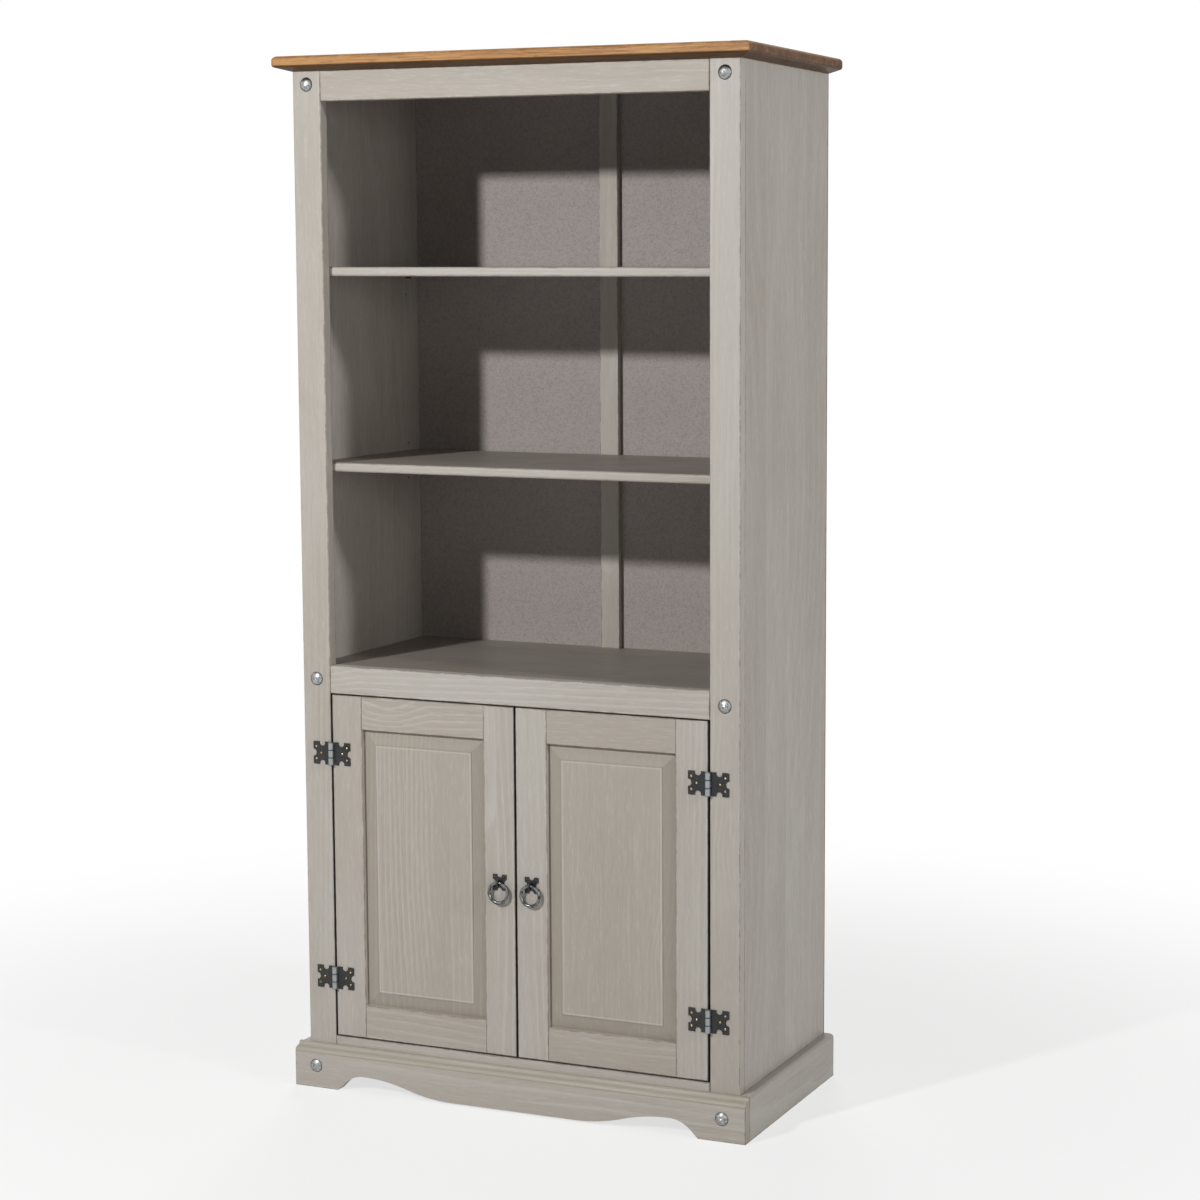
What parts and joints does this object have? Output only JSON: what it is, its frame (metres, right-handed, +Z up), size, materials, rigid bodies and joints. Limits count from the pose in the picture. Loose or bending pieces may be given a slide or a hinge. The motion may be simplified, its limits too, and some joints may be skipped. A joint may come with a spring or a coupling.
{
  "type": "storage cabinet",
  "caption": "Tall pine bookcase over a cupboard: open adjustable shelves above, inset raised-panel doors on butterfly hinges with ring pulls below, moulded top and scalloped skirt.",
  "frame": {"origin": "on the floor, in the middle of the width and of the depth", "axes": "+Z up, +X to the right seen from the front, the front faces -Y"},
  "size_m": [0.87, 0.421, 1.785],
  "materials": {
    "grey_wood": "grey-washed pine with a matt lacquer",
    "waxed_pine": "golden brown waxed pine, satin",
    "hardboard": "speckled mauve-grey hardboard, matt",
    "black_iron": "black japanned iron, satin",
    "brass": "dull brass nail heads",
    "pewter": "antique pewter, worn bright on the high spots",
    "steel": "zinc-plated steel",
    "brown_plastic": "brown moulded catch case"
  },
  "bodies": {
    "cabinet": {"top_board": "waxed_pine", "left_side_panel": "grey_wood", "right_side_panel": "grey_wood", "left_front_stile": "grey_wood", "right_front_stile": "grey_wood", "top_rail": "grey_wood", "middle_rail": "grey_wood", "bottom_rail": "grey_wood", "middle_deck": "grey_wood", "base_deck": "grey_wood", "upper_shelf": "grey_wood", "lower_shelf": "grey_wood", "cupboard_shelf": "grey_wood", "upper_shelf_pins": "black_iron", "lower_shelf_pins": "black_iron", "cupboard_shelf_pins": "black_iron", "left_back_sheet": "hardboard", "right_back_sheet": "hardboard", "upper_back_strip": "grey_wood", "lower_back_strip": "grey_wood", "front_skirt": "grey_wood", "left_skirt": "grey_wood", "right_skirt": "grey_wood", "rear_base_rail": "grey_wood", "top_cleats": "grey_wood", "deck_cleats": "grey_wood", "base_cleats": "grey_wood", "face_studs": "pewter", "left_upper_frame_leaf": "black_iron", "left_lower_frame_leaf": "black_iron", "right_upper_frame_leaf": "black_iron", "right_lower_frame_leaf": "black_iron", "hinge_pins": "black_iron", "frame_leaf_nails": "brass", "door_catches": "brown_plastic"},
    "left_door": {"left_door_hinge_stile": "grey_wood", "left_door_meeting_stile": "grey_wood", "left_door_top_rail": "grey_wood", "left_door_bottom_rail": "grey_wood", "left_door_panel": "grey_wood", "left_door_upper_leaf": "black_iron", "left_door_lower_leaf": "black_iron", "left_door_leaf_nails": "brass", "left_pull_plate": "black_iron", "left_pull_nails": "black_iron", "left_strike_plate": "steel"},
    "left_ring": {"left_ring": "pewter"},
    "right_door": {"right_door_hinge_stile": "grey_wood", "right_door_meeting_stile": "grey_wood", "right_door_top_rail": "grey_wood", "right_door_bottom_rail": "grey_wood", "right_door_panel": "grey_wood", "right_door_upper_leaf": "black_iron", "right_door_lower_leaf": "black_iron", "right_door_leaf_nails": "brass", "right_pull_plate": "black_iron", "right_pull_nails": "black_iron", "right_strike_plate": "steel"},
    "right_ring": {"right_ring": "pewter"}
  },
  "joints": [
    {"name": "left_door_hinge", "type": "hinge", "parent": "cabinet", "child": "left_door", "pos_m": [-0.35475, -0.19, 0.3955], "axis": [0, 0, -1], "range_deg": [0, 170]},
    {"name": "left_ring_swing", "type": "hinge", "parent": "left_door", "child": "left_ring", "pos_m": [-0.03025, -0.1931, 0.3955], "axis": [-1, 0, 0], "range_deg": [-5, 165]},
    {"name": "right_door_hinge", "type": "hinge", "parent": "cabinet", "child": "right_door", "pos_m": [0.35475, -0.19, 0.3955], "axis": [0, 0, 1], "range_deg": [0, 170]},
    {"name": "right_ring_swing", "type": "hinge", "parent": "right_door", "child": "right_ring", "pos_m": [0.03025, -0.1931, 0.3955], "axis": [-1, 0, 0], "range_deg": [-5, 165]}
  ]
}
